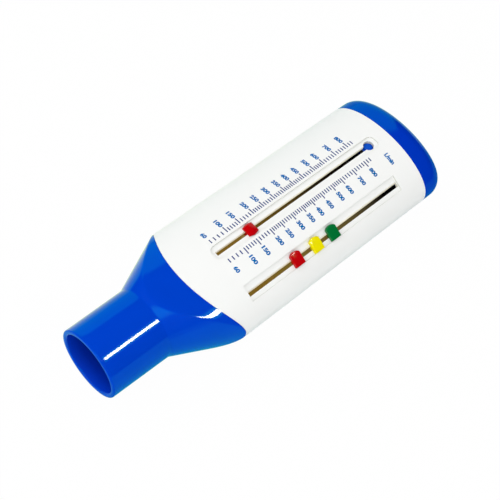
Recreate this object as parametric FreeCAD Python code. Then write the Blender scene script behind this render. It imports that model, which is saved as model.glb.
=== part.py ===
import FreeCAD, Part
import math
import os

# Peak flow meter. X runs from the mouthpiece (-X) to the end cap (+X), Z is up
# through the scale face, and the meter lies on its back with z = 0 under it.

# Oval body
body_width = 54.0
body_height = 32.0
end_arc_angle = 38.0
shoulder_arc_angle = 68.0
wall = 2.2
shell_length = 100.3
front_edge_bow = 10.4

# Mouthpiece and funnel
tube_length = 26.6
tube_radius = 14.9
lip_rounding = 0.9
lip_rounding_steps = 3
lip_bevel = 0.7
air_bore_radius = 12.75
funnel_length = 26.5
funnel_wall = 2.0

# Ends that plug into the white body
spigot_wall = 1.5
spigot_length = 5.0
spigot_root = 17.0
plug_clearance = 0.1

# End cap
cap_length = 12.6
cap_rounding = 8.0
cap_rounding_steps = 4
cap_wall = 2.0
cap_inner_bevel = 4.0
vent_width = 2.4
vent_pitch = 4.6
vent_heights = [11.0, 9.0, 6.0]
tongue_width = 8.0
tongue_thickness = 1.5
tongue_reach = 13.6
tongue_clearance = 0.3
latch_clearance = 0.55
latch_height = 0.8
latch_bevel = 0.3

# Pointer slot. Starts are measured from the front side corners of the white body,
# and ends from its back edge.
slot_width = 1.8
slot_start = 7.15
keyhole_from_end = 10.5
keyhole_diameter = 4.5
recess_width = 6.4
recess_start = 5.6
recess_from_end = 6.6
recess_corner = 2.5
recess_depth = 0.8

# Marker slot
marker_slot_from_side = 8.3
marker_slot_width = 1.8
marker_slot_start = 7.2
marker_slot_from_end = 11.9
marker_recess_width = 6.9
marker_recess_start = 6.8
marker_recess_from_end = 11.7

# Pointer
pointer_position = 24.4
pointer_length = 4.65
pointer_edge_width = 4.3
pointer_point = 0.6
pointer_side_height = 1.0
pointer_top_bevel = 0.35
pointer_ridge_rise = 0.6
stem_length = 3.4
stem_clearance = 0.2
foot_clearance = 0.15
pointer_foot_diameter = 4.1
pointer_foot_thickness = 1.8
slider_float = 0.1

# Zone markers
marker_positions = {"red": 31.7, "yellow": 42.0, "green": 51.0}
marker_length = 4.7
marker_back = 3.2
marker_shoulder = 1.7
marker_nose = 2.75
marker_height = 1.6
marker_top_bevel = 0.2
keeper_length = 4.4
keeper_width = 3.6
keeper_thickness = 1.3
keeper_grip = 0.02

# Guide rod and its holders
rod_radius = 1.5
rod_fit = 0.02
rod_end_inset = 4.0
rod_front_stub = 1.6
spider_length = 5.0
spider_setback = 1.5
spider_rim = 1.2
spider_clearance = 0.12
spider_shoulder = 0.6
spider_arm = 1.4
spider_hub_radius = 3.2
clip_radius = 3.0
clip_thickness = 0.7
anchor_radius = 3.1
anchor_length = 2.0

# Piston
piston_clearance = 0.25
piston_thickness = 1.6
piston_rib_height = 1.5
piston_rib_thickness = 0.8
piston_push_gap = 0.3
bush_radius = 3.4
bush_flange_radius = 6.0
bush_flange_thickness = 1.0
bush_front = 5.0
bush_rear = 10.0
bush_running_fit = 0.06
piston_clip_radius = 4.6
piston_clip_thickness = 0.8
marker_notch_low = 6.0
marker_notch_outer_reach = 2.8
marker_notch_inner_reach = 4.2

# Return spring and end buffer
spring_radius = 2.6
spring_wire = 0.6
spring_turns = 5
scale_end_gap = 5.4
buffer_radius = 4.0
buffer_thickness = 1.5
buffer_gap = 0.3
boss_radius = 4.0

# Stations along X worked out from the sizes above
overall_length = tube_length + funnel_length + shell_length + cap_length
axis_z = body_height / 2
lip_x = -overall_length / 2
throat_x = lip_x + tube_length
shell_x = throat_x + funnel_length
shell_end_x = shell_x + shell_length
cap_end_x = shell_end_x + cap_length
half_width = body_width / 2
keyhole_position = shell_length - keyhole_from_end
recess_end = shell_length - recess_from_end
marker_slot_end = shell_length - marker_slot_from_end
marker_recess_end = shell_length - marker_recess_from_end
pointer_travel_up = keyhole_position - scale_end_gap - pointer_position
bore_half_height = axis_z - wall
plug_inset = wall + plug_clearance
plug_bore_inset = plug_inset + spigot_wall
funnel_slope = (half_width - tube_radius) / funnel_length
marker_slot_offset = marker_slot_from_side - half_width
pointer_x = shell_x + pointer_position
foot_top_z = axis_z + bore_half_height - foot_clearance
piston_x = pointer_x - pointer_foot_diameter / 2 - piston_push_gap - piston_thickness
spider_rear_x = throat_x - spider_setback
spider_front_x = spider_rear_x - spider_length
anchor_end_x = spider_rear_x + anchor_length
bush_front_x = piston_x - bush_front
bush_rear_x = piston_x + piston_thickness + bush_rear
buffer_x = bush_rear_x + pointer_travel_up + buffer_gap
boss_x = buffer_x + buffer_thickness
marker_surface_z = axis_z * math.sqrt(1 - (marker_slot_offset / half_width) ** 2)
marker_tilt = math.degrees(math.atan2(
    -marker_slot_offset / half_width ** 2, marker_surface_z / axis_z ** 2))


def vec(x, y, z):
    return FreeCAD.Vector(x, y, z)


def rod_x(x_start, x_end, radius):
    return Part.makeCylinder(radius, x_end - x_start, vec(x_start, 0, axis_z), vec(1, 0, 0))


def cone_x(x_start, x_end, radius_start, radius_end):
    return Part.makeCone(
        radius_start, radius_end, x_end - x_start, vec(x_start, 0, axis_z), vec(1, 0, 0))


# The oval is drawn with arcs that follow an ellipse closely: a tight arc at each
# end, a long flat one above and below, and a shoulder arc between them.
def oval_radii():
    first = math.radians(end_arc_angle)
    second = math.radians(shoulder_arc_angle)
    middle = (first + second) / 2
    spread = (half_width * math.cos(middle)) ** 2 + (axis_z * math.sin(middle)) ** 2
    shoulder = (half_width * axis_z) ** 2 / spread ** 1.5
    width_left = half_width - shoulder * (math.cos(first) - math.cos(second))
    height_left = axis_z - shoulder * (math.sin(second) - math.sin(first))
    end_share = 1 - math.cos(first)
    flat_share = 1 - math.sin(second)
    scale = end_share * flat_share - math.cos(second) * math.sin(first)
    end = (width_left * flat_share - math.cos(second) * height_left) / scale
    flat = (end_share * height_left - math.sin(first) * width_left) / scale
    return end, shoulder, flat


def oval_point(x, angle, inset):
    end, shoulder, flat = oval_radii()
    first = math.radians(end_arc_angle)
    second = math.radians(shoulder_arc_angle)
    turn = math.radians(angle)
    lean = math.asin(abs(math.sin(turn)))
    centre_y = half_width - end
    centre_z = 0
    radius = end
    if lean > first:
        centre_y += (end - shoulder) * math.cos(first)
        centre_z += (end - shoulder) * math.sin(first)
        radius = shoulder
    if lean > second:
        centre_y += (shoulder - flat) * math.cos(second)
        centre_z += (shoulder - flat) * math.sin(second)
        radius = flat
    y = centre_y + (radius - inset) * math.cos(lean)
    z = centre_z + (radius - inset) * math.sin(lean)
    return vec(x, math.copysign(y, math.cos(turn)), axis_z + math.copysign(z, math.sin(turn)))


def oval_wire(x, inset):
    first = end_arc_angle
    second = shoulder_arc_angle
    joints = [
        -first, first, second, 180 - second, 180 - first, 180 + first, 180 + second,
        360 - second, 360 - first]
    arcs = []
    for start, stop in zip(joints, joints[1:]):
        ends = [oval_point(x, angle, inset) for angle in (start, stop)]
        middle = oval_point(x, (start + stop) / 2, inset)
        arcs.append(Part.Arc(ends[0], middle, ends[1]).toShape())
    return Part.Wire(arcs)


def oval_x(x_start, x_end, inset):
    return Part.Face(oval_wire(x_start, inset)).extrude(vec(x_end - x_start, 0, 0))


def box_at(x_start, x_end, y_start, y_end, z_start, z_end):
    return Part.makeBox(
        x_end - x_start, y_end - y_start, z_end - z_start, vec(x_start, y_start, z_start))


def prism_z(points, z_start, z_end):
    corners = [vec(x, y, z_start) for x, y in points]
    face = Part.Face(Part.makePolygon(corners + [corners[0]]))
    return face.extrude(vec(0, 0, z_end - z_start))


def upright_pin(x, y, radius, z_start, z_end):
    return Part.makeCylinder(radius, z_end - z_start, vec(x, y, z_start))


def track_z(x_start, x_end, width, corner, z_start, z_end):
    block = box_at(x_start, x_end, -width / 2, width / 2, z_start, z_end)
    upright = [e for e in block.Edges if e.BoundBox.ZLength > z_end - z_start - 0.01]
    return block.makeFillet(corner, upright)


# Everything ahead of the bowed line where the blue funnel meets the white body.
def ahead_of_front_edge():
    reach = half_width + 3
    far_x = lip_x - 5
    left = vec(shell_x, -half_width, -1)
    right = vec(shell_x, half_width, -1)
    bow = Part.Arc(left, vec(shell_x - front_edge_bow, 0, -1), right).toShape()
    right_corner = vec(shell_x, reach, -1)
    left_corner = vec(shell_x, -reach, -1)
    border = Part.makePolygon([
        right, right_corner, vec(far_x, reach, -1), vec(far_x, -reach, -1), left_corner, left])
    face = Part.Face(Part.Wire([bow] + border.Edges))
    return face.extrude(vec(0, 0, body_height + 2))


# The marker slot sits on the side of the oval, so its recess, its markers and
# their keepers are drawn flat and then leaned over to follow the surface.
def lean_onto_surface(shape, station, depth):
    leaned = shape.copy()
    leaned.rotate(vec(0, 0, 0), vec(1, 0, 0), marker_tilt)
    normal = vec(0, -math.sin(math.radians(marker_tilt)), math.cos(math.radians(marker_tilt)))
    seat = vec(shell_x + station, marker_slot_offset, axis_z + marker_surface_z)
    leaned.translate(seat - normal * depth)
    return leaned


def body_shell():
    outer = oval_x(shell_x - front_edge_bow - 1, shell_end_x, 0)
    bore = oval_x(shell_x - front_edge_bow - 2, shell_end_x + 1, wall)
    shell = outer.cut(bore).cut(ahead_of_front_edge())
    top = body_height + 1
    recess = track_z(
        shell_x + recess_start, shell_x + recess_end, recess_width, recess_corner,
        body_height - recess_depth, top)
    slot = box_at(
        shell_x + slot_start, shell_x + keyhole_position,
        -slot_width / 2, slot_width / 2, axis_z, top)
    keyhole = upright_pin(shell_x + keyhole_position, 0, keyhole_diameter / 2, axis_z, top)
    side_recess = lean_onto_surface(
        box_at(
            marker_recess_start, marker_recess_end,
            -marker_recess_width / 2, marker_recess_width / 2, 0, 5),
        0, recess_depth)
    side_slot = box_at(
        shell_x + marker_slot_start, shell_x + marker_slot_end,
        marker_slot_offset - marker_slot_width / 2, marker_slot_offset + marker_slot_width / 2,
        axis_z, top)
    return shell.cut([recess, slot, keyhole, side_recess, side_slot])


# The turn from side to end, as narrow cones that stay on the round.
def quarter_turn(steps):
    angles = [math.radians(90 * count / steps) for count in range(steps + 1)]
    return [(math.sin(angle), 1 - math.cos(angle)) for angle in angles]


def mouthpiece_tube():
    corners = [vec(lip_x, 0, axis_z), vec(throat_x, 0, axis_z)]
    corners.append(vec(throat_x, 0, axis_z + tube_radius))
    for along, inward in quarter_turn(lip_rounding_steps):
        corners.append(vec(
            lip_x + lip_rounding * (1 - along), 0,
            axis_z + tube_radius - lip_rounding * inward))
    profile = Part.Face(Part.makePolygon(corners + [corners[0]]))
    return profile.revolve(vec(0, 0, axis_z), vec(1, 0, 0), 360)


def mouthpiece_funnel():
    past_plug = shell_x + spigot_length + 1
    ring_start = shell_x - spigot_root
    ring_end = shell_x + spigot_length
    tube = mouthpiece_tube()
    wide_radius = half_width + funnel_slope * (past_plug - shell_x)
    cone = cone_x(throat_x, past_plug, tube_radius, wide_radius)
    oval = oval_x(throat_x, past_plug, 0).common(ahead_of_front_edge())
    plug = oval_x(ring_start, ring_end, plug_inset)
    solid = cone.common(oval).fuse(cone.common(plug)).fuse(tube)
    thickness = funnel_wall / math.cos(math.atan(funnel_slope))
    inner_cone = cone_x(
        throat_x, past_plug, tube_radius - thickness, wide_radius - thickness)
    inner_oval = oval_x(throat_x, ring_start, wall)
    inner_plug = oval_x(ring_start, past_plug, plug_bore_inset)
    air_way = rod_x(lip_x - 1, spider_rear_x, air_bore_radius)
    throat = rod_x(spider_rear_x, throat_x, air_bore_radius - spider_shoulder)
    solid = solid.cut([inner_cone.common(inner_oval), inner_cone.common(inner_plug)])
    solid = solid.cut([air_way, throat])
    rim = [
        e for e in solid.Edges
        if e.BoundBox.XMax < lip_x + 0.01 and e.BoundBox.YMax < air_bore_radius + 0.01]
    return solid.makeChamfer(lip_bevel, rim)


def rounded_oval(x_start, x_end, inset, rounding):
    block = oval_x(x_start, x_end - rounding, inset)
    turn = [(rounding * along, rounding * inward)
            for along, inward in quarter_turn(cap_rounding_steps)]
    for (near, near_inset), (far, far_inset) in zip(turn, turn[1:]):
        ends = [
            oval_wire(x_end - rounding + near, inset + near_inset),
            oval_wire(x_end - rounding + far, inset + far_inset)]
        block = block.fuse(Part.makeLoft(ends, True, True))
    return block


def bevelled_oval(x_start, x_end, inset, bevel):
    block = oval_x(x_start, x_end, inset)
    end = [e for e in block.Edges if e.BoundBox.XMin > x_end - 0.01]
    return block.makeChamfer(bevel, end)


def vent_slots():
    vents = []
    for index, height in enumerate(vent_heights):
        for side in (-1, 1):
            y = side * (boss_radius + vent_pitch * (index + 0.6))
            slot = box_at(
                cap_end_x - cap_rounding, cap_end_x + 1,
                y - vent_width / 2, y + vent_width / 2,
                axis_z - height / 2, axis_z + height / 2)
            vents.append(slot)
    return vents


def end_cap():
    neck = shell_end_x + 1.5
    shell = rounded_oval(shell_end_x, cap_end_x, 0, cap_rounding)
    plug = oval_x(shell_end_x - spigot_length, shell_end_x, plug_inset)
    cap = shell.fuse(plug)
    throat = oval_x(shell_end_x - spigot_length - 1, neck, plug_bore_inset)
    hollow = bevelled_oval(neck - 0.01, cap_end_x - cap_wall, cap_wall, cap_inner_bevel)
    cap = cap.cut([throat, hollow])
    tongue_top = axis_z + bore_half_height - tongue_clearance
    tongue = box_at(
        shell_end_x - tongue_reach, shell_end_x - spigot_length + 1.5,
        -tongue_width / 2, tongue_width / 2, tongue_top - tongue_thickness, tongue_top)
    latch_top = tongue_top + latch_height
    latch = upright_pin(
        shell_x + keyhole_position, 0, keyhole_diameter / 2 - latch_clearance,
        tongue_top - 0.5, latch_top)
    latch = latch.makeChamfer(
        latch_bevel, [e for e in latch.Edges if e.BoundBox.ZMin > latch_top - 0.01])
    boss = rod_x(boss_x, cap_end_x - cap_wall + 0.5, boss_radius)
    cap = cap.fuse([tongue, latch, boss])
    rod_socket = rod_x(boss_x - 1, cap_end_x - rod_end_inset + 0.2, rod_radius + rod_fit)
    return cap.cut([rod_socket] + vent_slots())


def rod_spider():
    outer_radius = air_bore_radius - spider_clearance
    inner_radius = outer_radius - spider_rim
    rim = rod_x(spider_front_x, spider_rear_x, outer_radius)
    rim = rim.cut(rod_x(spider_front_x - 1, spider_rear_x + 1, inner_radius))
    spider = rim.fuse(rod_x(spider_front_x, spider_rear_x, spider_hub_radius))
    arms = []
    for count in range(3):
        arm = box_at(
            spider_front_x, spider_rear_x, -spider_arm / 2, spider_arm / 2,
            axis_z + spider_hub_radius - 0.5, axis_z + outer_radius - 0.5)
        arm.rotate(vec(0, 0, axis_z), vec(1, 0, 0), 120 * count)
        arms.append(arm)
    spider = spider.fuse(arms)
    return spider.cut(rod_x(spider_front_x - 1, spider_rear_x + 1, rod_radius + rod_fit))


def collar(x_start, x_end, radius, hole_radius):
    return rod_x(x_start, x_end, radius).cut(rod_x(x_start - 1, x_end + 1, hole_radius))


def rod_front_clip():
    return collar(
        spider_front_x - clip_thickness, spider_front_x, clip_radius, rod_radius + rod_fit)


def spring_anchor():
    return collar(spider_rear_x, anchor_end_x, anchor_radius, rod_radius + rod_fit)


def guide_rod():
    rod = rod_x(
        spider_front_x - clip_thickness - rod_front_stub, cap_end_x - rod_end_inset, rod_radius)
    return rod.makeChamfer(0.3, [e for e in rod.Edges if e.Curve.TypeId == "Part::GeomCircle"])


# The spring fills the space between its anchor and the piston in the pose shown.
def return_spring():
    start = anchor_end_x + spring_wire / 2
    length = bush_front_x - spring_wire / 2 - start
    helix = Part.makeHelix(length / spring_turns, length, spring_radius)
    side = spring_wire / 2
    corners = []
    for count in range(5):
        angle = math.radians(90 * count)
        corners.append(
            vec(spring_radius + side * math.cos(angle), 0, side * math.sin(angle)))
    profile = Part.makePolygon(corners)
    spring = Part.Wire(helix).makePipeShell([profile], True, True)
    spring.rotate(vec(0, 0, 0), vec(0, 1, 0), 90)
    spring.translate(vec(start, 0, axis_z))
    return spring


def piston_plate():
    plate = oval_x(piston_x, piston_x + piston_thickness, wall + piston_clearance)
    limit = oval_x(piston_x - piston_rib_height, piston_x, plug_bore_inset + 1)
    ribs = []
    for angle in (0, 55, 90, 125):
        rib = box_at(
            piston_x - piston_rib_height, piston_x, -half_width, half_width,
            axis_z - piston_rib_thickness / 2, axis_z + piston_rib_thickness / 2)
        rib.rotate(vec(0, 0, axis_z), vec(1, 0, 0), angle)
        ribs.append(rib.common(limit))
    piston = plate.fuse(ribs)
    notch = box_at(
        piston_x - 5, piston_x + 5,
        marker_slot_offset - marker_notch_outer_reach,
        marker_slot_offset + marker_notch_inner_reach,
        axis_z + marker_notch_low, body_height)
    clip_room = rod_x(piston_x - 5, piston_x, piston_clip_radius + 0.2)
    hole = rod_x(piston_x - 5, piston_x + 5, bush_radius + rod_fit)
    return piston.cut([notch, clip_room, hole])


def piston_bush():
    flange_start = piston_x + piston_thickness
    bush = rod_x(bush_front_x, bush_rear_x, bush_radius)
    bush = bush.fuse(
        rod_x(flange_start, flange_start + bush_flange_thickness, bush_flange_radius))
    return bush.cut(rod_x(bush_front_x - 1, bush_rear_x + 1, rod_radius + bush_running_fit))


def piston_clip():
    return collar(
        piston_x - piston_clip_thickness, piston_x, piston_clip_radius, bush_radius + rod_fit)


def end_buffer():
    return collar(buffer_x, boss_x, buffer_radius, rod_radius + rod_fit)


# A hexagon seen from above, with bevelled sides and a low roof whose ridge marks
# the reading.
def pointer_head(bottom):
    half_length = pointer_length / 2
    half_edge = pointer_edge_width / 2
    point = half_edge + pointer_point
    top = bottom + pointer_side_height
    outline = [
        (half_length, half_edge), (0, point), (-half_length, half_edge),
        (-half_length, -half_edge), (0, -point), (half_length, -half_edge)]
    bevel_z = top - pointer_top_bevel
    bevel_reach = pointer_top_bevel + pointer_ridge_rise
    low = Part.makePolygon([vec(x, y, bevel_z) for x, y in outline + outline[:1]])
    high = low.makeOffset2D(-bevel_reach)
    high.translate(vec(0, 0, bevel_reach))
    hip = Part.makeLoft([low, high], True, True)
    profile = [
        vec(-half_length - 1, -point, bottom),
        vec(-half_length - 1, -point, top - pointer_ridge_rise / half_length),
        vec(0, -point, top + pointer_ridge_rise),
        vec(half_length + 1, -point, top - pointer_ridge_rise / half_length),
        vec(half_length + 1, -point, bottom)]
    roof = Part.Face(Part.makePolygon(profile + [profile[0]])).extrude(vec(0, 2 * point, 0))
    head = prism_z(outline, bottom, bevel_z).fuse(hip.common(roof))
    head.translate(vec(pointer_x, 0, 0))
    return head


def pointer():
    bottom = body_height - recess_depth + slider_float
    stem_half = slot_width / 2 - stem_clearance
    stem = box_at(
        pointer_x - stem_length / 2, pointer_x + stem_length / 2,
        -stem_half, stem_half, foot_top_z - 1, bottom + 0.5)
    foot = upright_pin(
        pointer_x, 0, pointer_foot_diameter / 2, foot_top_z - pointer_foot_thickness, foot_top_z)
    return pointer_head(bottom).fuse([stem, foot]).removeSplitter()


def marker_stem(station, extra):
    half = marker_slot_width / 2 - stem_clearance + extra
    low_z = axis_z + 5.6
    return box_at(
        shell_x + station - stem_length / 2 - extra,
        shell_x + station + stem_length / 2 + extra,
        marker_slot_offset - half, marker_slot_offset + half,
        low_z, axis_z + marker_surface_z)


def keeper_bottom_depth():
    return wall + foot_clearance + keeper_thickness


def below_keeper(station):
    return lean_onto_surface(
        box_at(-10, 10, -10, 10, -10, 0), station, keeper_bottom_depth())


# Square at the back, with a round nose that points at the scale.
def marker_outline():
    half_length = marker_length / 2
    sides = [
        vec(-half_length, marker_shoulder, slider_float),
        vec(-half_length, -marker_back, slider_float),
        vec(half_length, -marker_back, slider_float),
        vec(half_length, marker_shoulder, slider_float)]
    nose = Part.Arc(sides[3], vec(0, marker_nose, slider_float), sides[0]).toShape()
    return Part.Wire([nose] + Part.makePolygon(sides).Edges)


def zone_marker(station):
    head = Part.Face(marker_outline()).extrude(vec(0, 0, marker_height))
    top_edges = [e for e in head.Edges if e.BoundBox.ZMin > marker_height]
    head = head.makeChamfer(marker_top_bevel, top_edges)
    head = lean_onto_surface(head, station, recess_depth)
    stem = marker_stem(station, 0).cut(below_keeper(station))
    return head.fuse(stem)


def zone_keeper(station):
    block = box_at(
        -keeper_length / 2, keeper_length / 2, -keeper_width / 2, keeper_width / 2,
        0, keeper_thickness)
    block = lean_onto_surface(block, station, keeper_bottom_depth())
    return block.cut(marker_stem(station, keeper_grip))


def build():
    pieces = {
        "body_shell": body_shell(),
        "mouthpiece_funnel": mouthpiece_funnel(),
        "end_cap": end_cap(),
        "rod_spider": rod_spider(),
        "rod_front_clip": rod_front_clip(),
        "guide_rod": guide_rod(),
        "spring_anchor": spring_anchor(),
        "return_spring": return_spring(),
        "piston_plate": piston_plate(),
        "piston_bush": piston_bush(),
        "piston_clip": piston_clip(),
        "end_buffer": end_buffer(),
        "pointer": pointer(),
    }
    for colour, station in marker_positions.items():
        pieces["zone_marker_" + colour] = zone_marker(station)
        pieces["zone_keeper_" + colour] = zone_keeper(station)
    return pieces


os.makedirs("parts", exist_ok=True)
for name, shape in build().items():
    print(name, len(shape.Solids), shape.isValid(), round(shape.Volume, 1))
    shape.Solids[0].exportStep("parts/" + name + ".step")
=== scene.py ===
import bmesh
import bpy
import math
from mathutils import Matrix, Vector


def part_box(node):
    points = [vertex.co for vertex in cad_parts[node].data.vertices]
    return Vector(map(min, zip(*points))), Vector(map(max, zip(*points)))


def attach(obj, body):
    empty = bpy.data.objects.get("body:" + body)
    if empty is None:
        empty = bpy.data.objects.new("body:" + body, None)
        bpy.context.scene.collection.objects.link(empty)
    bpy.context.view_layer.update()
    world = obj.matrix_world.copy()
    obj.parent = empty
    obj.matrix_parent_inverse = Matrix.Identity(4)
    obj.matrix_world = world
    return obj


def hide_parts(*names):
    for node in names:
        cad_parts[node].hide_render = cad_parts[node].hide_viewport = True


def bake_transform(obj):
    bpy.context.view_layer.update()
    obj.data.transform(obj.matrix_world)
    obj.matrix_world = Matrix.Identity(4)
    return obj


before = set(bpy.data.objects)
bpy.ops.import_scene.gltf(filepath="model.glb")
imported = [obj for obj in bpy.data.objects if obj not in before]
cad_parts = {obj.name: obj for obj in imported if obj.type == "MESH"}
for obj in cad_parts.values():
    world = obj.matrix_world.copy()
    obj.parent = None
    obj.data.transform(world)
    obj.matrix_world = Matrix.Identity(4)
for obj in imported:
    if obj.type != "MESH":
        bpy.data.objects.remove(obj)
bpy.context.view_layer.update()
MM = 0.001

# The meter is seen from above its mouthpiece end, with a long lens that keeps
# the body's sides nearly parallel. The camera stands about 46 cm away.
camera = bpy.data.objects.new("camera", bpy.data.cameras.new("camera"))
bpy.context.scene.collection.objects.link(camera)
camera.location = (-0.19684, -0.14087, 0.38922)
camera.rotation_euler = [math.radians(turn) for turn in (31.8758, -7.1595, -42.7024)]
camera.data.sensor_width = 36.0
camera.data.lens = 81.824
bpy.context.scene.camera = camera
bpy.context.scene.view_settings.view_transform = "Standard"


# The table is one pale sheet that runs out of view on every side. To the eye it
# is nearly all its own white glow, with a trace of the meter's shadow. Gloss sees
# it in greens and blues, which suit the view from the camera.
def node_in(tree, kind, **values):
    node = tree.nodes.new(kind)
    for name, value in values.items():
        if name in node.inputs:
            node.inputs[name].default_value = value
        else:
            setattr(node, name, value)
    return node


table_glow_share = 0.98
gloss_across = [
    (0.17, (0.02, 0.52, 0.50)), (0.24, (1.1, 1.3, 0.9)), (0.28, (1.0, 1.25, 0.6)),
    (0.35, (0.45, 1.0, 0.55)), (0.46, (0.18, 0.95, 0.55)), (0.80, (0.01, 0.90, 0.60))]
gloss_lengthwise = [
    (0.207, (0.12, 0.45, 0.7)), (0.24, (1.0, 1.0, 1.0)), (0.667, (1.0, 1.0, 1.0)),
    (0.767, (0.3, 0.6, 0.8))]


def any_ray(tree, *rays):
    path = node_in(tree, "ShaderNodeLightPath")
    total = path.outputs[rays[0]]
    for ray in rays[1:]:
        both = node_in(tree, "ShaderNodeMath", operation="MAXIMUM")
        tree.links.new(total, both.inputs[0])
        tree.links.new(path.outputs[ray], both.inputs[1])
        total = both.outputs[0]
    return total


def fade(tree, value, low, high, start=0.0, end=1.0, curve="LINEAR"):
    span = node_in(tree, "ShaderNodeMapRange", interpolation_type=curve)
    span.inputs["From Min"].default_value = low
    span.inputs["From Max"].default_value = high
    span.inputs["To Min"].default_value = start
    span.inputs["To Max"].default_value = end
    tree.links.new(value, span.inputs["Value"])
    return span.outputs["Result"]


def colours_between(tree, value, stops):
    ramp = node_in(tree, "ShaderNodeValToRGB")
    elements = ramp.color_ramp.elements
    while len(elements) < len(stops):
        elements.new(0.5)
    for element, (position, colour) in zip(elements, stops):
        element.position = position
        element.color = (*colour, 1.0)
    tree.links.new(value, ramp.inputs["Fac"])
    return ramp.outputs["Color"]


def colours_along(tree, axis, start, end, stops):
    place = node_in(tree, "ShaderNodeTexCoord").outputs["Object"]
    parts = node_in(tree, "ShaderNodeSeparateXYZ")
    tree.links.new(place, parts.inputs[0])
    return colours_between(tree, fade(tree, parts.outputs[axis], start, end), stops)


def product(tree, first, second):
    times = node_in(tree, "ShaderNodeMath", operation="MULTIPLY")
    for socket, factor in zip(times.inputs, (first, second)):
        if isinstance(factor, float):
            socket.default_value = factor
        else:
            tree.links.new(factor, socket)
    return times.outputs[0]


def mixed_shaders(tree, share, first, second):
    mix = node_in(tree, "ShaderNodeMixShader")
    tree.links.new(share, mix.inputs["Fac"])
    tree.links.new(first.outputs[0], mix.inputs[1])
    tree.links.new(second.outputs[0], mix.inputs[2])
    return mix


def table_paper():
    material = bpy.data.materials.new("table_paper")
    material.use_nodes = True
    tree = material.node_tree
    paper = tree.nodes["Principled BSDF"]
    paper.inputs["Base Color"].default_value = (0.86, 0.86, 0.86, 1.0)
    paper.inputs["Roughness"].default_value = 0.9
    in_gloss = node_in(tree, "ShaderNodeEmission", Strength=1.0)
    tint = node_in(tree, "ShaderNodeMix", data_type="RGBA", blend_type="MULTIPLY")
    tint.inputs[0].default_value = 1.0
    tree.links.new(colours_along(tree, "Y", -0.1, 0.4, gloss_across), tint.inputs[6])
    tree.links.new(colours_along(tree, "X", -0.15, 0.15, gloss_lengthwise), tint.inputs[7])
    tree.links.new(tint.outputs[2], in_gloss.inputs["Color"])
    to_eye = node_in(tree, "ShaderNodeEmission", Strength=1.0)
    glow = mixed_shaders(tree, any_ray(tree, "Is Glossy Ray"), to_eye, in_gloss)
    direct = any_ray(tree, "Is Camera Ray", "Is Glossy Ray", "Is Transmission Ray")
    shown = mixed_shaders(tree, product(tree, direct, table_glow_share), paper, glow)
    tree.links.new(shown.outputs[0], tree.nodes["Material Output"].inputs["Surface"])
    return material


def new_object(name, mesh, *materials):
    data = bpy.data.meshes.new(name)
    mesh.to_mesh(data)
    mesh.free()
    piece = bpy.data.objects.new(name, data)
    bpy.context.scene.collection.objects.link(piece)
    for material in materials:
        data.materials.append(material)
    return piece


table_sheet = bmesh.new()
bmesh.ops.create_grid(table_sheet, x_segments=8, y_segments=8, size=2.0)
table = new_object("table", table_sheet, table_paper())


# The white body is a moulded oval tube of thick glossy-satin plastic. Its front
# edge is bowed, and the face has a recessed track for the pointer and another
# on the side for the markers, each with a slot right through the wall.
shell_low, shell_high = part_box("body_shell")
half_width = (shell_high.y - shell_low.y) / 2
half_height = (shell_high.z - shell_low.z) / 2
axis_z = shell_low.z + half_height
shell_end_x = shell_high.x
shell_length = 100.3 * MM
shell_x = shell_end_x - shell_length
front_bow = 10.4 * MM
wall = 2.2 * MM
oval_segments = 290
track_depth = 0.8 * MM
pointer_track = (5.6 * MM, 93.7 * MM, 6.4 * MM)
track_corner = 2.5 * MM
pointer_slot = (7.15 * MM, 89.8 * MM, 1.8 * MM)
keyhole_radius = 2.25 * MM
marker_track = (6.8 * MM, 88.6 * MM, 6.9 * MM)
marker_slot = (7.2 * MM, 88.4 * MM, 1.8 * MM)
marker_slot_y = -18.7 * MM
edge_round = 0.07 * MM
seam_gap = 0.05 * MM
bow_radius = (half_width ** 2 + front_bow ** 2) / (2 * front_bow)


def oval_point(turn, inset):
    y = half_width * math.cos(turn)
    z = half_height * math.sin(turn)
    lean = Vector((math.cos(turn) / half_width, math.sin(turn) / half_height)).normalized()
    return y - inset * lean.x, z - inset * lean.y


def surface_z(y):
    return axis_z + half_height * math.sqrt(1 - (y / half_width) ** 2)


def front_edge_x(y):
    reach = min(abs(y), half_width)
    return shell_x - front_bow + bow_radius - math.sqrt(bow_radius ** 2 - reach ** 2)


def at_station(x, inset):
    def place(turn):
        y, z = oval_point(turn, inset)
        return Vector((x, y, axis_z + z))
    return place


def at_front_edge(back, inset):
    def place(turn):
        y, z = oval_point(turn, inset)
        return Vector((front_edge_x(half_width * math.cos(turn)) + back, y, axis_z + z))
    return place


def ringed_wall(rings, close=True):
    mesh = bmesh.new()
    turn = mesh.verts.layers.float.new("turn")
    circle = bmesh.ops.create_circle(mesh, segments=oval_segments, radius=1.0)["verts"]
    rim = mesh.edges[:]
    for vert in circle:
        vert[turn] = math.atan2(vert.co.y, vert.co.x)
        vert.co = rings[0](vert[turn])
    for place in rings[1:]:
        grown = bmesh.ops.extrude_edge_only(mesh, edges=rim)["geom"]
        rim = [part for part in grown if isinstance(part, bmesh.types.BMEdge)]
        for vert in {end for edge in rim for end in edge.verts}:
            vert.co = place(vert[turn])
    if close:
        bmesh.ops.remove_doubles(mesh, verts=mesh.verts, dist=0.0001 * MM)
    else:
        bmesh.ops.holes_fill(mesh, edges=[e for e in mesh.edges if e.is_boundary], sides=0)
    bmesh.ops.recalc_face_normals(mesh, faces=mesh.faces)
    return mesh


def block(low, high):
    mesh = bmesh.new()
    bmesh.ops.create_cube(mesh, size=1.0)
    size = [b - a for a, b in zip(low, high)]
    middle = [(a + b) / 2 for a, b in zip(low, high)]
    bmesh.ops.scale(mesh, vec=size, verts=mesh.verts)
    bmesh.ops.translate(mesh, vec=middle, verts=mesh.verts)
    return mesh


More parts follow.
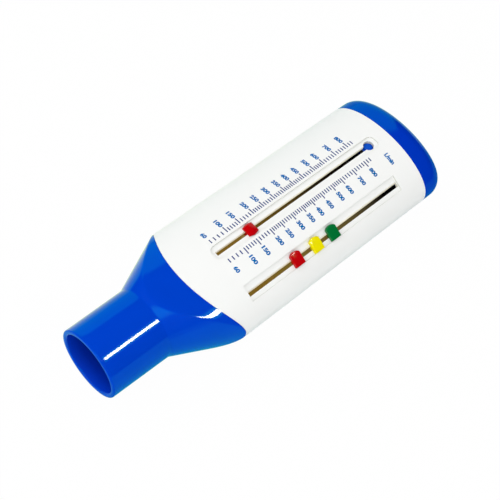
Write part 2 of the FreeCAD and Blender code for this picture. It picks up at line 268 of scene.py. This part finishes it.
def upright_slot(x_start, x_end, width, corner, z_start, z_end):
    mesh = bmesh.new()
    segments = 68
    half_step = Matrix.Rotation(math.pi / segments, 4, "Z")
    bmesh.ops.create_circle(
        mesh, cap_ends=True, segments=segments, radius=corner, matrix=half_step)
    for vert in mesh.verts:
        vert.co.x += math.copysign((x_end - x_start) / 2 - corner, vert.co.x)
        vert.co.y += math.copysign(width / 2 - corner, vert.co.y)
    grown = bmesh.ops.extrude_face_region(mesh, geom=mesh.faces[:])["geom"]
    top = [part for part in grown if isinstance(part, bmesh.types.BMVert)]
    bmesh.ops.translate(mesh, vec=(0, 0, z_end - z_start), verts=top)
    bmesh.ops.translate(mesh, vec=((x_start + x_end) / 2, 0, z_start), verts=mesh.verts)
    bmesh.ops.recalc_face_normals(mesh, faces=mesh.faces)
    return mesh


def cut_and_join(piece, cuts=(), joins=()):
    tools = []
    for operation, meshes in (("UNION", joins), ("DIFFERENCE", cuts)):
        for mesh in meshes:
            tool = new_object("tool", mesh)
            change = piece.modifiers.new("change", "BOOLEAN")
            change.operation = operation
            change.solver = "EXACT"
            change.object = tool
            tools.append(tool)
    bpy.context.view_layer.update()
    result = bpy.data.meshes.new_from_object(
        piece.evaluated_get(bpy.context.evaluated_depsgraph_get()))
    piece.modifiers.clear()
    piece.data = result
    for tool in tools:
        bpy.data.objects.remove(tool)


def tidy_and_round(piece, radius, segments=2, angle=35.0):
    mesh = bmesh.new()
    mesh.from_mesh(piece.data)
    bmesh.ops.remove_doubles(mesh, verts=mesh.verts, dist=0.03 * MM)
    bmesh.ops.dissolve_degenerate(mesh, edges=mesh.edges, dist=0.01 * MM)
    mesh.to_mesh(piece.data)
    mesh.free()
    piece.data.shade_smooth()
    round_edges = piece.modifiers.new("round_edges", "BEVEL")
    round_edges.width = radius
    round_edges.segments = segments
    round_edges.limit_method = "ANGLE"
    round_edges.angle_limit = math.radians(angle)
    round_edges.harden_normals = True


def plastic(name, colour, roughness, mottle=0.03, ripple=0.02, gloss=0.5):
    material = bpy.data.materials.new(name)
    material.use_nodes = True
    tree = material.node_tree
    surface = tree.nodes["Principled BSDF"]
    surface.inputs["IOR"].default_value = 1.5
    surface.inputs["Specular IOR Level"].default_value = gloss
    place = node_in(tree, "ShaderNodeTexCoord").outputs["Object"]
    cloud = node_in(tree, "ShaderNodeTexNoise", Scale=90.0, Detail=4.0, Roughness=0.6)
    tree.links.new(place, cloud.inputs["Vector"])
    thin, thick = 0.3, 0.7
    darker = [channel * (1 - mottle) for channel in colour]
    lighter = [min(1.0, channel * (1 + mottle)) for channel in colour]
    shades = colours_between(tree, cloud.outputs["Fac"], [(thin, darker), (thick, lighter)])
    tree.links.new(shades, surface.inputs["Base Color"])
    haze = fade(tree, cloud.outputs["Fac"], thin, thick, roughness * 0.95, roughness * 1.05)
    tree.links.new(haze, surface.inputs["Roughness"])
    grain = node_in(tree, "ShaderNodeTexNoise", Scale=2600.0, Detail=2.0)
    tree.links.new(place, grain.inputs["Vector"])
    bump = node_in(tree, "ShaderNodeBump", Strength=ripple, Distance=0.05 * MM)
    tree.links.new(grain.outputs["Fac"], bump.inputs["Height"])
    tree.links.new(bump.outputs["Normal"], surface.inputs["Normal"])
    return material


# The inside of the body and the works in it are seen in the light that comes
# through the wall: warm brown, fading to black under the end cap. That light is
# painted on dark surfaces as a glow of their own, so it doesn't follow the lamps.
def add_glow(material, stops):
    tree = material.node_tree
    surface = tree.nodes["Principled BSDF"]
    glow = colours_along(tree, "X", shell_x, shell_end_x, stops)
    tree.links.new(glow, surface.inputs["Emission Color"])
    surface.inputs["Emission Strength"].default_value = 1.0


# Paints the base colour along X; here it paints shade into the bore and the cap's plug.
def paint_along(material, start, end, stops):
    tree = material.node_tree
    paint = colours_along(tree, "X", start, end, stops)
    tree.links.new(paint, tree.nodes["Principled BSDF"].inputs["Base Color"])


def leaned_block(x_start, x_end, width, low, high):
    mesh = block((x_start, -width / 2, low), (x_end, width / 2, high))
    seat_z = surface_z(marker_slot_y)
    tilt = math.atan2(-marker_slot_y / half_width ** 2, (seat_z - axis_z) / half_height ** 2)
    bmesh.ops.rotate(mesh, cent=(0, 0, 0), matrix=Matrix.Rotation(tilt, 3, "X"), verts=mesh.verts)
    bmesh.ops.translate(mesh, vec=(shell_x, marker_slot_y, seat_z), verts=mesh.verts)
    return mesh


body_rings = [
    at_front_edge(seam_gap, 0.0), at_station(shell_end_x - seam_gap, 0.0),
    at_station(shell_end_x - seam_gap, wall), at_front_edge(seam_gap, wall)]
above = axis_z + half_height + 1.0 * MM
start_x, end_x, track_width = pointer_track
slot_start_x, slot_end_x, slot_width = pointer_slot
side_start_x, side_end_x, side_width = marker_track
side_slot_start_x, side_slot_end_x, side_slot_width = marker_slot
body_cuts = [
    upright_slot(
        shell_x + start_x, shell_x + end_x, track_width, track_corner,
        axis_z + half_height - track_depth, above),
    block((shell_x + slot_start_x, -slot_width / 2, axis_z),
          (shell_x + slot_end_x, slot_width / 2, above)),
    upright_slot(
        shell_x + slot_end_x - keyhole_radius, shell_x + slot_end_x + keyhole_radius,
        2 * keyhole_radius, keyhole_radius, axis_z, above),
    leaned_block(side_start_x, side_end_x, side_width, -track_depth, 5.0 * MM),
    block((shell_x + side_slot_start_x, marker_slot_y - side_slot_width / 2, axis_z),
          (shell_x + side_slot_end_x, marker_slot_y + side_slot_width / 2, above))]
inside_glow = [
    (0.02, (0.0, 0.0, 0.0)), (0.05, (0.19, 0.115, 0.016)), (0.25, (0.17, 0.10, 0.012)),
    (0.40, (0.12, 0.070, 0.0065)), (0.62, (0.06, 0.037, 0.006)), (0.74, (0.013, 0.009, 0.003)),
    (0.84, (0.0, 0.0, 0.0))]
slot_wall_glow = [
    (0.05, (0.26, 0.25, 0.20)), (0.60, (0.42, 0.42, 0.34)), (0.90, (0.25, 0.25, 0.20))]
side_glow = [
    (0.02, (0.0, 0.0, 0.0)), (0.05, (0.19, 0.115, 0.016)), (0.35, (0.17, 0.11, 0.018)),
    (0.62, (0.14, 0.10, 0.026)), (0.75, (0.09, 0.068, 0.023)), (0.86, (0.045, 0.036, 0.018)),
    (0.93, (0.003, 0.003, 0.003))]
# The inner wall is white plastic; its base is painted near black as shade, under the glow.
shell_inside = plastic("shell_inside", (0.05, 0.03, 0.01), 0.6, gloss=0.1)
add_glow(shell_inside, inside_glow)
shell_inside_side = plastic("shell_inside_side", (0.05, 0.03, 0.01), 0.6, gloss=0.1)
add_glow(shell_inside_side, side_glow)
# The slot walls are white plastic, painted a darker warm tone as shade, with a painted glow.
slot_wall = plastic("slot_wall", (0.60, 0.56, 0.48), 0.5)
add_glow(slot_wall, slot_wall_glow)
# The recess walls are the same white plastic, painted a little darker as shade.
recess_wall_shade = plastic("recess_wall_shade", (0.70, 0.71, 0.66), 0.6, mottle=0.002, gloss=0.1)
white_plastic = plastic(
    "white_plastic", (0.90, 0.905, 0.89), 0.5, mottle=0.002, ripple=0.01, gloss=0.12)
body_finishes_and_shades = [white_plastic, shell_inside, slot_wall, shell_inside_side, recess_wall_shade]
body = new_object("white_body", ringed_wall(body_rings + body_rings[:1]), *body_finishes_and_shades)
cut_and_join(body, cuts=body_cuts)
tidy_and_round(body, edge_round)


# Faces inside and on the slot walls take painted shade and glow, recess walls painted shade.
def finish_of(face):
    y, z = face.center.y, face.center.z - axis_z
    slot_y = marker_slot_y if y < marker_slot_y / 2 else 0.0
    sunk = (y / half_width) ** 2 + (z / half_height) ** 2 < 0.985
    facing_in = face.normal.y * y + face.normal.z * z < 0
    near_bore = (y / (half_width - wall)) ** 2 + (z / (half_height - wall)) ** 2 < 1.02
    upright = max(abs(face.normal.x), abs(face.normal.y)) > 0.75
    beside_slot = abs(abs(y - slot_y) - slot_width / 2) < 0.02 * MM
    from_ends = min(face.center.x - shell_x, shell_end_x - face.center.x)
    if facing_in and near_bore:
        return shell_inside_side if y < -5.0 * MM else shell_inside
    if beside_slot and abs(face.normal.y) > 0.9:
        return slot_wall
    if upright and sunk and from_ends > 3.0 * MM:
        return recess_wall_shade
    return white_plastic


for face in body.data.polygons:
    face.material_index = body_finishes_and_shades.index(finish_of(face))
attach(body, "housing")
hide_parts("body_shell")


# The scale is printed in thin blue ink: a row of ticks on each side of the
# pointer's slot, numbers from 60 to 800, and the unit by the keyhole.
scale_marks = {
    60: 8.83, 100: 16.77, 150: 23.2, 200: 30.3, 250: 35.63, 300: 41.53, 350: 47.07,
    400: 52.0, 450: 57.33, 500: 63.33, 600: 68.6, 700: 75.4, 800: 82.13}
ticks_past_end = (83.5, 84.87)
tick_width = 0.46 * MM
tick_inner_y = 4.4 * MM
short_tick_y = 6.2 * MM
long_tick_y = 7.4 * MM
digit_height = 1.85 * MM
digit_pitch = 1.36 * MM
upper_numbers_y = 7.8 * MM
lower_numbers_y = -8.3 * MM
unit_height = 2.1 * MM
unit_length = 5.1 * MM
unit_x = 91.2 * MM
unit_y = -7.17 * MM
ink_height = 0.02 * MM
ink_depth = 0.03 * MM


def print_tick(mesh, x, y_start, y_end):
    bar = block((x - tick_width / 2, y_start, -ink_depth), (x + tick_width / 2, y_end, ink_height))
    across = [e for e in bar.edges if abs(e.verts[0].co.y - e.verts[1].co.y) > tick_width]
    bmesh.ops.subdivide_edges(bar, edges=across, cuts=3, use_grid_fill=True)
    add_to(mesh, bar)


def add_to(mesh, part):
    data = bpy.data.meshes.new("part")
    part.to_mesh(data)
    part.free()
    mesh.from_mesh(data)
    bpy.data.meshes.remove(data)


def print_text(mesh, words, x_low, y_start, height, length):
    letters = bpy.data.curves.new("letters", "FONT")
    letters.body = words
    letters.resolution_u = 4
    letters.extrude = 0.5
    letters.offset = 0.055
    holder = bpy.data.objects.new("letters", letters)
    bpy.context.scene.collection.objects.link(holder)
    bpy.context.view_layer.update()
    data = bpy.data.meshes.new_from_object(
        holder.evaluated_get(bpy.context.evaluated_depsgraph_get()))
    bpy.data.objects.remove(holder)
    part = bmesh.new()
    part.from_mesh(data)
    bpy.data.meshes.remove(data)
    bmesh.ops.remove_doubles(part, verts=part.verts, dist=0.0001)
    low_x = min(vert.co.x for vert in part.verts)
    high_x = max(vert.co.x for vert in part.verts)
    low_y = min(vert.co.y for vert in part.verts)
    high_y = max(vert.co.y for vert in part.verts)
    for vert in part.verts:
        along = (vert.co.x - low_x) / (high_x - low_x)
        up = (vert.co.y - low_y) / (high_y - low_y)
        top = ink_height if vert.co.z > 0 else -ink_depth
        vert.co = Vector((x_low + up * height, y_start - along * length, top))
    bmesh.ops.recalc_face_normals(part, faces=part.faces)
    add_to(mesh, part)


def tick_stations():
    marks = sorted(scale_marks.items())
    stations = [(x * MM, number != 60) for number, x in marks]
    for (number, x), (next_number, next_x) in zip(marks, marks[1:]):
        gaps = 4 if number == 60 else 5
        stations += [((x + (next_x - x) * count / gaps) * MM, False) for count in range(1, gaps)]
    return stations + [(x * MM, False) for x in ticks_past_end]


def curve_onto_body(mesh):
    for vert in mesh.verts:
        vert.co.z += surface_z(vert.co.y)


ticks = bmesh.new()
for station, is_long in tick_stations():
    reach = long_tick_y if is_long else short_tick_y
    print_tick(ticks, shell_x + station, tick_inner_y, reach)
    print_tick(ticks, shell_x + station, -reach, -tick_inner_y)
curve_onto_body(ticks)
dark_ink = plastic("dark_ink", (0.004, 0.030, 0.19), 0.4, mottle=0.12, ripple=0.05, gloss=0.1)
scale_ticks = new_object("scale_ticks", ticks, dark_ink)
numbers = bmesh.new()
for number, station in scale_marks.items():
    length = digit_pitch * len(str(number)) - 0.1 * MM
    low_x = shell_x + station * MM - digit_height / 2
    print_text(numbers, str(number), low_x, upper_numbers_y + length, digit_height, length)
    print_text(numbers, str(number), low_x, lower_numbers_y, digit_height, length)
print_text(numbers, "L/min", shell_x + unit_x, unit_y, unit_height, unit_length)
curve_onto_body(numbers)
bright_ink = plastic("bright_ink", (0.0, 0.14, 0.43), 0.4, mottle=0.12, ripple=0.05, gloss=0.0)
scale_numbers = new_object("scale_numbers", numbers, bright_ink)
for print_layer in (scale_ticks, scale_numbers):
    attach(print_layer, "housing")


# The mouthpiece and funnel are one glossy blue moulding. A round tube opens
# into a cone, the cone meets the body's oval in a soft crease, and a plug on
# the back of it goes into the white body.
funnel_low, funnel_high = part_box("mouthpiece_funnel")
lip_x = funnel_low.x
throat_x = shell_x - 26.5 * MM
plug_end_x = funnel_high.x
lip_tube_radius = 14.8 * MM
throat_tube_radius = 15.0 * MM
lip_outer_round = 0.65 * MM
lip_inner_round = 0.7 * MM
bore_radius = 12.75 * MM
seat_radius = 12.15 * MM
seat_x = throat_x - 1.5 * MM
funnel_wall = 2.2 * MM
throat_softness = 0.3 * MM
crease_softness = 0.5 * MM
crease_least = 0.02 * MM
plug_inset = 2.3 * MM
plug_wall = 1.5 * MM
seam_round = 0.06 * MM
tube_rings = 8
cone_rings = 80
cone_ring_crowding = 1.5
inner_cone_rings = 30
lip_steps = 6
cone_slope = (half_width - throat_tube_radius) / (shell_x - throat_x)


def round_at(x, radius):
    def place(turn):
        y, z = oval_point(turn, 0.0)
        way = Vector((y, z)).normalized()
        return Vector((x, radius * way.x, axis_z + radius * way.y))
    return place


def lesser(first, second, softness):
    return (first + second - math.sqrt((first - second) ** 2 + softness ** 2)) / 2


def cone_radius(x):
    along = x - throat_x
    rise = (along + math.sqrt(along ** 2 + throat_softness ** 2)) / 2
    taper = min(0.0, along) * (throat_tube_radius - lip_tube_radius) / (throat_x - lip_x)
    return throat_tube_radius + taper + cone_slope * rise


def on_funnel(share, inset, thinner, start_x):
    def place(turn):
        y, z = oval_point(turn, inset)
        way = Vector((y, z))
        end_x = front_edge_x(half_width * math.cos(turn)) if inset == 0.0 else plug_end_x
        x = start_x + (end_x - start_x) * share
        softness = crease_softness * (1 - share ** 2) + crease_least
        radius = lesser(cone_radius(x) - thinner, way.length, softness)
        return Vector((x, radius * way.normalized().x, axis_z + radius * way.normalized().y))
    return place


def lip_rings(radius, rounding, inner):
    rings = []
    for count in range(lip_steps + 1):
        angle = math.radians(90 * count / lip_steps)
        x = lip_x + rounding * (1 - math.sin(angle))
        side = rounding * (1 - math.cos(angle))
        rings.append(round_at(x, radius + side if inner else radius - side))
    return rings


funnel_start_x = throat_x - 0.8 * MM
outer_lip = lip_rings(lip_tube_radius, lip_outer_round, False)[::-1]
tube_stations = [
    lip_x + (funnel_start_x - lip_x) * count / tube_rings for count in range(1, tube_rings)]
tube_side = [round_at(x, cone_radius(x)) for x in tube_stations]
funnel_side = [
    on_funnel((count / cone_rings) ** cone_ring_crowding, 0.0, 0.0, funnel_start_x)
    for count in range(cone_rings)]
seam = [at_front_edge(-seam_gap - seam_round, 0.0), at_front_edge(-seam_gap, seam_round)]
plug = [
    at_front_edge(-seam_gap, plug_inset), at_station(plug_end_x, plug_inset),
    at_station(plug_end_x, plug_inset + plug_wall)]
inside = [
    on_funnel(1 - count / inner_cone_rings, plug_inset + plug_wall, funnel_wall, throat_x)
    for count in range(1, inner_cone_rings)]
bore = [round_at(throat_x, seat_radius), round_at(seat_x, seat_radius),
        round_at(seat_x, bore_radius)]
inner_lip = lip_rings(bore_radius, lip_inner_round, True)
funnel_rings = outer_lip + tube_side + funnel_side + seam + plug + inside + bore + inner_lip
blue_plastic = plastic(
    "blue_plastic", (0.0, 0.050, 0.57), 0.06, mottle=0.02, ripple=0.0)
# The bore is painted darker the deeper it goes into the tube, as shade.
bore_shaded_blue = plastic("bore_shaded_blue", (0.0, 0.03, 0.40), 0.2, mottle=0.02, ripple=0.003)
paint_along(
    bore_shaded_blue, lip_x, throat_x,
    [(0.0, (0.0, 0.045, 0.60)), (0.2, (0.0, 0.025, 0.40)), (0.8, (0.0, 0.001, 0.09))])
funnel = new_object(
    "mouthpiece_and_funnel", ringed_wall(funnel_rings + outer_lip[:1]), blue_plastic, bore_shaded_blue)
funnel.data.shade_smooth()
funnel.data.set_sharp_from_angle(angle=math.radians(30))
for face in funnel.data.polygons:
    from_axis = math.hypot(face.center.y, face.center.z - axis_z)
    if face.center.x < throat_x and from_axis < bore_radius + 0.01 * MM:
        face.material_index = 1
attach(funnel, "housing")
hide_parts("mouthpiece_funnel")


# The end cap is blue plastic of a deeper shade. It is drawn in with a large round, has
# air vents in its end, and carries a boss for the guide rod, a plug for the
# body and a tongue with a latch button that stands in the keyhole.
cap_low, cap_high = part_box("end_cap")
cap_end_x = cap_high.x
tongue_start_x = cap_low.x
buffer_end_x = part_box("end_buffer")[1].x
rod_end_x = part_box("guide_rod")[1].x
cap_round = 8.0 * MM
cap_wall = 2.0 * MM
cap_hollow_bevel = 4.0 * MM
cap_round_steps = 20
overlap = 0.5 * MM
plug_length = 5.0 * MM
vent_width = 2.4 * MM
vent_pitch = 4.6 * MM
first_vent = 0.6
vent_heights = (11.0 * MM, 9.0 * MM, 6.0 * MM)
boss_radius = 4.0 * MM
boss_bore_radius = 1.55 * MM
tongue_width = 8.0 * MM
tongue_thickness = 1.5 * MM
tongue_gap = 0.3 * MM
latch_radius = 1.7 * MM
latch_height = 0.8 * MM


def cap_corner(count):
    angle = math.radians(90 * count / cap_round_steps)
    return at_station(
        cap_end_x - cap_round * (1 - math.sin(angle)), cap_round * (1 - math.cos(angle)))


def lying_rod(x_start, x_end, radius):
    mesh = bmesh.new()
    bmesh.ops.create_cone(
        mesh, cap_ends=True, segments=64, radius1=radius, radius2=radius,
        depth=x_end - x_start, matrix=Matrix.Rotation(math.radians(90), 4, "Y"))
    bmesh.ops.translate(mesh, vec=((x_start + x_end) / 2, 0, axis_z), verts=mesh.verts)
    return mesh


def vent(side, index):
    y = side * (boss_radius + vent_pitch * (index + first_vent))
    mesh = upright_slot(
        -vent_heights[index] / 2, vent_heights[index] / 2, vent_width, vent_width / 2,
        0.0, cap_round + 1.0 * MM)
    bmesh.ops.rotate(
        mesh, cent=(0, 0, 0), matrix=Matrix.Rotation(math.radians(90), 3, "Y"), verts=mesh.verts)
    bmesh.ops.translate(mesh, vec=(cap_end_x - cap_round, y, axis_z), verts=mesh.verts)
    return mesh


hollow_x = shell_end_x + 1.5 * MM
hollow_end_x = cap_end_x - cap_wall
plug_back_x = shell_end_x - plug_length
cap_front_x = shell_end_x + seam_gap
cap_rings = [cap_corner(count) for count in range(cap_round_steps, -1, -1)]
cap_rings += [
    at_station(cap_front_x + seam_round, 0.0),
    at_station(cap_front_x, seam_round),
    at_station(cap_front_x, plug_inset),
    at_station(plug_back_x, plug_inset),
    at_station(plug_back_x, plug_inset + plug_wall),
    at_station(hollow_x, plug_inset + plug_wall),
    at_station(hollow_x, cap_wall),
    at_station(hollow_end_x - cap_hollow_bevel, cap_wall),
    at_station(hollow_end_x, cap_wall + cap_hollow_bevel)]
tongue_top = axis_z + half_height - wall - tongue_gap
latch_x = shell_x + slot_end_x
cap_joins = [
    lying_rod(buffer_end_x, hollow_end_x + overlap, boss_radius),
    block((tongue_start_x, -tongue_width / 2, tongue_top - tongue_thickness),
          (plug_back_x + 3 * overlap, tongue_width / 2, tongue_top)),
    upright_slot(latch_x - latch_radius, latch_x + latch_radius, 2 * latch_radius,
                 latch_radius, tongue_top - overlap, tongue_top + latch_height)]
cap_cuts = [vent(side, index) for side in (-1, 1) for index in range(len(vent_heights))]
cap_cuts.append(
    lying_rod(buffer_end_x - 2 * overlap, rod_end_x + 0.2 * MM, boss_bore_radius))
# The cap's plug and tongue inside the shell are painted near black as shade, but for the latch.
cap_shade_in_shell = plastic("cap_shade_in_shell", (0.0, 0.05, 0.57), 0.3, mottle=0.02, gloss=0.2)
unlit = (0.001, 0.001, 0.002)
latch_blue = (0.0, 0.075, 0.58)
paint_along(
    cap_shade_in_shell, latch_x - 5.0 * MM, latch_x + 5.0 * MM,
    [(0.22, unlit), (0.30, latch_blue), (0.75, latch_blue), (0.82, unlit)])
cap_blue = plastic("cap_blue", (0.0, 0.034, 0.50), 0.06, mottle=0.02, ripple=0.0)
cap = new_object("end_cap_blue", ringed_wall(cap_rings, close=False), cap_blue, cap_shade_in_shell)
cut_and_join(cap, cap_cuts, cap_joins)
tidy_and_round(cap, 0.15 * MM)
# Faces inside the shell take the painted shade.
for face in cap.data.polygons:
    if face.center.x < shell_end_x - 0.1 * MM:
        face.material_index = 1
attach(cap, "housing")
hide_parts("end_cap")


# Small moulded and turned pieces keep the solid's shape. Their edges get the
# small round that a mould or a lathe leaves.
def finished_copy(node, material, edge, body_name, slot, angle=32.0):
    mesh = bmesh.new()
    mesh.from_mesh(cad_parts[node].data)
    bmesh.ops.remove_doubles(mesh, verts=mesh.verts, dist=0.001 * MM)
    bmesh.ops.dissolve_limit(
        mesh, angle_limit=math.radians(1.0), use_dissolve_boundaries=False,
        verts=mesh.verts, edges=mesh.edges)
    piece = new_object(node + "_finished", mesh, material)
    if edge:
        tidy_and_round(piece, edge, segments=3, angle=angle)
    else:
        piece.data.shade_smooth()
        piece.data.set_sharp_from_angle(angle=math.radians(angle))
    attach(piece, body_name)
    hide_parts(node)


red_plastic = plastic(
    "red_plastic", (0.50, 0.0, 0.002), 0.08, mottle=0.03, ripple=0.005, gloss=0.3)
finished_copy("pointer", red_plastic, 0.1 * MM, "pointer", "red_plastic", angle=16.0)


# Three zone markers ride in the side slot, each held from inside by a small
# keeper of natural plastic that is pushed onto its stem.
# The keepers and piston plate are natural plastic, painted nearly black as shade, under the glow.
shaded_plastic_in_shell = plastic("shaded_plastic_in_shell", (0.08, 0.06, 0.04), 0.6, gloss=0.1)
add_glow(shaded_plastic_in_shell, inside_glow)
zone_finishes = {
    "red": red_plastic,
    "yellow": plastic(
        "yellow_plastic", (0.84, 0.74, 0.0), 0.08, mottle=0.02, ripple=0.005, gloss=0.3),
    "green": plastic(
        "green_plastic", (0.0, 0.155, 0.030), 0.08, mottle=0.04, ripple=0.005, gloss=0.3)}
for zone, finish in zone_finishes.items():
    rider = "marker_" + zone
    finished_copy(
        "zone_marker_" + zone, finish, 0.1 * MM, rider, zone + "_plastic", angle=20.0)
    finished_copy(
        "zone_keeper_" + zone, shaded_plastic_in_shell, 0.1 * MM, rider, "natural_plastic")


# The works inside: a steel guide rod in a three-armed spider, held by steel
# clips, and an oval piston plate on a dark plastic bush that slides on the rod.
def steel(name, colour, roughness):
    material = plastic(name, colour, roughness, mottle=0.05, ripple=0.04)
    material.node_tree.nodes["Principled BSDF"].inputs["Metallic"].default_value = 1.0
    return material


bright_steel = steel("bright_steel", (0.60, 0.60, 0.61), 0.25)
dark_plastic = plastic("dark_plastic", (0.030, 0.030, 0.034), 0.4, mottle=0.1, ripple=0.06)
black_rubber = plastic("black_rubber", (0.020, 0.020, 0.021), 0.65, mottle=0.1, ripple=0.1)
# The rod, clip and spring are steel, painted dark brown as shade, under the glow.
shaded_steel_in_shell = steel("shaded_steel_in_shell", (0.16, 0.14, 0.12), 0.4)
add_glow(shaded_steel_in_shell, inside_glow)
natural_plastic = plastic("natural_plastic", (0.62, 0.58, 0.48), 0.4, mottle=0.04, ripple=0.05)
works = [
    ("guide_rod", shaded_steel_in_shell, 0.0, "housing", "steel"),
    ("rod_front_clip", bright_steel, 0.06, "housing", "steel"),
    ("spring_anchor", bright_steel, 0.1, "housing", "steel"),
    ("rod_spider", natural_plastic, 0.1, "housing", "natural_plastic"),
    ("piston_plate", shaded_plastic_in_shell, 0.1, "piston", "natural_plastic"),
    ("piston_bush", dark_plastic, 0.1, "piston", "dark_plastic"),
    ("piston_clip", shaded_steel_in_shell, 0.06, "piston", "steel"),
    ("end_buffer", black_rubber, 0.2, "housing", "rubber_buffer")]
for node, finish, edge, rider, slot in works:
    finished_copy(node, finish, edge * MM, rider, slot)


# The return spring is a soft coil of thin steel wire. Its front end is held by
# the anchor on the rod, and its back end pulls on the piston's bush.
spring_low, spring_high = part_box("return_spring")
wire_radius = 0.26 * MM
coil_radius = 2.6 * MM
coil_turns = 20
steps_per_turn = 28
coil = bmesh.new()
coil_start_x = spring_low.x + wire_radius + 0.1 * MM
coil_end_x = spring_high.x - wire_radius - 0.1 * MM
bmesh.ops.create_circle(
    coil, segments=10, radius=wire_radius,
    matrix=Matrix.Translation((coil_start_x, coil_radius, axis_z)))
advance = (coil_end_x - coil_start_x) / (coil_turns * steps_per_turn)
bmesh.ops.spin(
    coil, geom=coil.edges[:], cent=(coil_start_x, 0, axis_z), axis=(1, 0, 0),
    dvec=(advance, 0, 0), angle=math.radians(360 * coil_turns),
    steps=coil_turns * steps_per_turn, use_merge=False)
bmesh.ops.holes_fill(coil, edges=[e for e in coil.edges if e.is_boundary], sides=0)
bmesh.ops.recalc_face_normals(coil, faces=coil.faces)
spring = new_object("coil_spring", coil, shaded_steel_in_shell)
spring.data.shade_smooth()
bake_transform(spring)
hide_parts("return_spring")


# A long narrow lamp with a faint halo shows only in gloss, as the strip on the
# tube, and two broad soft lamps light the rest. In gloss the room has a blue-green
# wall on the left, as far as a corner, and is dark above it but for one soft spot.
def soft_lamp(name, place, target, long_side, length, width, power):
    lamp = bpy.data.objects.new(name, bpy.data.lights.new(name, "AREA"))
    bpy.context.scene.collection.objects.link(lamp)
    lamp.data.shape = "RECTANGLE"
    lamp.data.size = length
    lamp.data.size_y = width
    lamp.data.energy = power
    back = (Vector(place) - Vector(target)).normalized()
    side = Vector(long_side)
    side = (side - back * side.dot(back)).normalized()
    up = back.cross(side)
    turn = Matrix((side, up, back)).transposed().to_4x4()
    lamp.matrix_world = Matrix.Translation(Vector(place)) @ turn
    return lamp


lamp_place = (0.1905, -0.445, 0.656)
tube_place = (-0.070, -0.007, 0.029)
key_lamp = soft_lamp("key_lamp", lamp_place, tube_place, (1, 0, 0), 0.207, 0.098, 2.6)
key_lamp.visible_diffuse = False
key_halo = soft_lamp("key_halo", lamp_place, tube_place, (1, 0, 0), 0.25, 0.22, 0.32)
key_halo.data.color = (0.0, 1.0, 0.3)
key_halo.visible_diffuse = False
left_lamp = soft_lamp(
    "left_lamp", (-0.75, 0.55, 0.95), (0, 0, 0.02), (0, 1, 0), 1.4, 1.4, 9.9)
near_lamp = soft_lamp(
    "near_lamp", (-0.55, -0.95, 0.95), (0, 0, 0.02), (1, 0, 0), 1.4, 1.4, 6.8)
left_lamp.visible_glossy = False
near_lamp.visible_glossy = False

room = bpy.data.worlds.new("room")
bpy.context.scene.world = room
room.use_nodes = True
sky = room.node_tree
sky.nodes.clear()
look_way = node_in(sky, "ShaderNodeTexCoord").outputs["Generated"]


def looking_to(way):
    dot = node_in(sky, "ShaderNodeVectorMath", operation="DOT_PRODUCT")
    dot.inputs[1].default_value = way
    sky.links.new(look_way, dot.inputs[0])
    return dot.outputs["Value"]


def plain_light(strength):
    return node_in(
        sky, "ShaderNodeBackground", Color=(1.0, 1.0, 1.0, 1.0), Strength=strength)


spot_way = Vector((-0.47, -0.22, 0.85)).normalized()
dark_wall = (0.0, 0.02, 0.03)
lit_wall = (0.01, 0.80, 0.75)
below_wall_top = fade(sky, looking_to((-0.6, 0.0, 1.0)), 0.395, 0.435, 1.0, 0.0)
on_left = fade(sky, looking_to((-0.3, 0.8, 0.0)), -0.02, 0.04)
before_corner = fade(sky, looking_to((1.0, 0.0, 0.0)), -0.10, 0.02)
pale_wall = product(sky, below_wall_top, product(sky, on_left, before_corner))
walls = colours_between(sky, pale_wall, [(0.0, dark_wall), (1.0, lit_wall)])
with_spot = node_in(sky, "ShaderNodeMix", data_type="RGBA", blend_type="MIX")
spot = fade(sky, looking_to(spot_way), 0.90, 0.99, curve="SMOOTHSTEP")
sky.links.new(spot, with_spot.inputs[0])
sky.links.new(walls, with_spot.inputs[6])
with_spot.inputs[7].default_value = (0.05, 1.4, 1.6, 1.0)
in_gloss = plain_light(1.0)
sky.links.new(with_spot.outputs[2], in_gloss.inputs["Color"])
gloss_or_fill = mixed_shaders(
    sky, any_ray(sky, "Is Glossy Ray"), plain_light(0.60), in_gloss)
final = mixed_shaders(
    sky, any_ray(sky, "Is Camera Ray", "Is Transmission Ray"), gloss_or_fill, plain_light(1.0))
world_out = node_in(sky, "ShaderNodeOutputWorld")
sky.links.new(final.outputs[0], world_out.inputs["Surface"])
